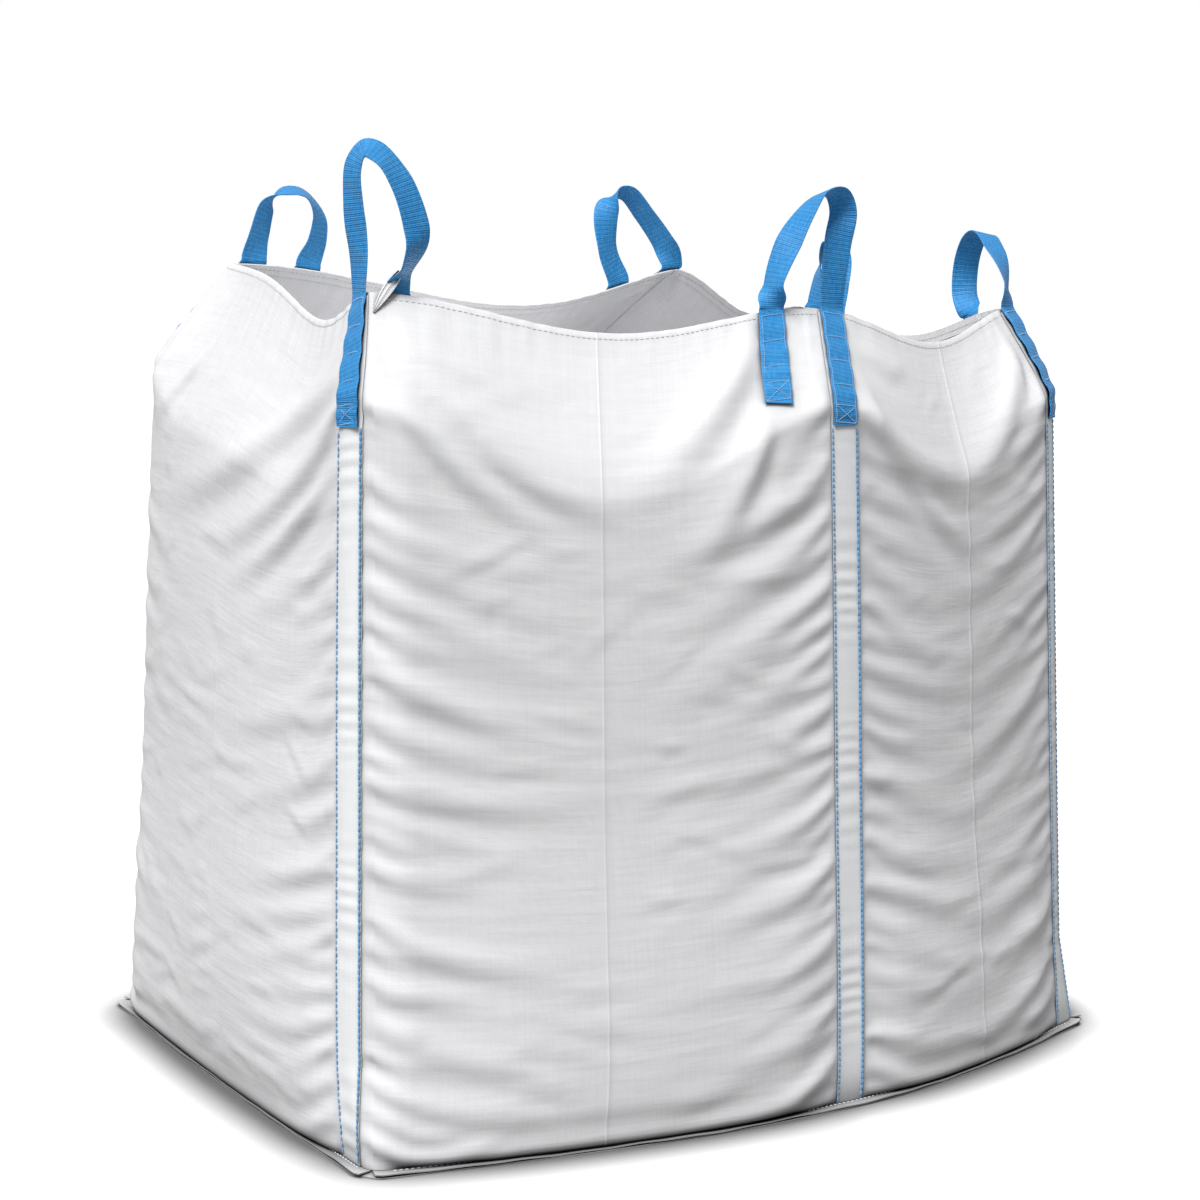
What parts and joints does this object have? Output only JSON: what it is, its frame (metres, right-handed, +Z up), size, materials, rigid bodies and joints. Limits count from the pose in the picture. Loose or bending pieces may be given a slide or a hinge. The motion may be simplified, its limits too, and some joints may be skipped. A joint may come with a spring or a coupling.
{
  "type": "bulk bag",
  "caption": "Open-top woven bulk bag standing filled out, with webbing lifting loops that swing at the rim, sewn strips, a folded hem and a base seam.",
  "frame": {"origin": "centre of the base on the floor, midway between the body's four base corners", "axes": "+Z up; X along the long side, with the bag's front long side facing -Y; Y along the short side"},
  "size_m": [1.3112, 1.0537, 1.3563],
  "materials": {
    "woven_fabric": "coated woven polypropylene, satin",
    "strip_tape": "folded woven tape, satin",
    "blue_webbing": "ribbed polypropylene webbing, soft sheen",
    "blue_thread": "chain stitch thread",
    "white_thread": "chain stitch thread"
  },
  "bodies": {
    "bag": {"base_panel": "woven_fabric", "front_panel": "woven_fabric", "right_panel": "woven_fabric", "back_panel": "woven_fabric", "left_panel": "woven_fabric", "front_base_seam": "woven_fabric", "right_base_seam": "woven_fabric", "back_base_seam": "woven_fabric", "left_base_seam": "woven_fabric", "front_hem": "woven_fabric", "right_hem": "woven_fabric", "back_hem": "woven_fabric", "left_hem": "woven_fabric", "strip_nl": "strip_tape", "strip_fm": "strip_tape", "strip_fr": "strip_tape", "strip_br": "strip_tape", "strip_bc": "strip_tape", "strip_fl": "strip_tape", "long_leg_nl": "blue_webbing", "long_leg_fm": "blue_webbing", "long_leg_fr": "blue_webbing", "long_leg_br": "blue_webbing", "long_leg_bc": "blue_webbing", "long_leg_fl": "blue_webbing", "short_leg_nl": "blue_webbing", "short_leg_fm": "blue_webbing", "short_leg_fr": "blue_webbing", "short_leg_br": "blue_webbing", "short_leg_bc": "blue_webbing", "short_leg_fl": "blue_webbing", "strip_thread_nl": "blue_thread", "strip_thread_fm": "blue_thread", "strip_thread_fr": "blue_thread", "strip_thread_br": "blue_thread", "strip_thread_bc": "blue_thread", "strip_thread_fl": "blue_thread", "leg_thread_nl": "blue_thread", "leg_thread_fm": "blue_thread", "leg_thread_fr": "blue_thread", "leg_thread_br": "blue_thread", "leg_thread_bc": "blue_thread", "leg_thread_fl": "blue_thread", "hem_thread": "white_thread", "base_thread": "white_thread"},
    "loop_nl_body": {"loop_nl": "blue_webbing"},
    "loop_fm_body": {"loop_fm": "blue_webbing"},
    "loop_fr_body": {"loop_fr": "blue_webbing"},
    "loop_br_body": {"loop_br": "blue_webbing"},
    "loop_bc_body": {"loop_bc": "blue_webbing"},
    "loop_fl_body": {"loop_fl": "blue_webbing"}
  },
  "joints": [
    {"name": "loop_nl_swing", "type": "hinge", "parent": "bag", "child": "loop_nl_body", "pos_m": [-0.5245, -0.2985, 1.16813], "axis": [0.7738, -0.6279, -0.0835], "range_deg": [-110, 88]},
    {"name": "loop_fm_swing", "type": "hinge", "parent": "bag", "child": "loop_fm_body", "pos_m": [0.08496, -0.4218, 1.14237], "axis": [0.9995, -0.0297, -0.0101], "range_deg": [-110, 112]},
    {"name": "loop_fr_swing", "type": "hinge", "parent": "bag", "child": "loop_fr_body", "pos_m": [0.57314, -0.25344, 1.12342], "axis": [0.2542, 0.9542, -0.1579], "range_deg": [-110, 97]},
    {"name": "loop_br_swing", "type": "hinge", "parent": "bag", "child": "loop_br_body", "pos_m": [0.59291, 0.19964, 1.11308], "axis": [-0.0561, 0.9914, 0.1186], "range_deg": [-74, 110]},
    {"name": "loop_bc_swing", "type": "hinge", "parent": "bag", "child": "loop_bc_body", "pos_m": [0.2104, 0.18493, 1.17773], "axis": [-0.9715, 0.027, -0.2356], "range_deg": [-110, 97]},
    {"name": "loop_fl_swing", "type": "hinge", "parent": "bag", "child": "loop_fl_body", "pos_m": [-0.40973, 0.25831, 1.19874], "axis": [-0.9797, 0.1723, 0.1024], "range_deg": [-110, 110]}
  ]
}
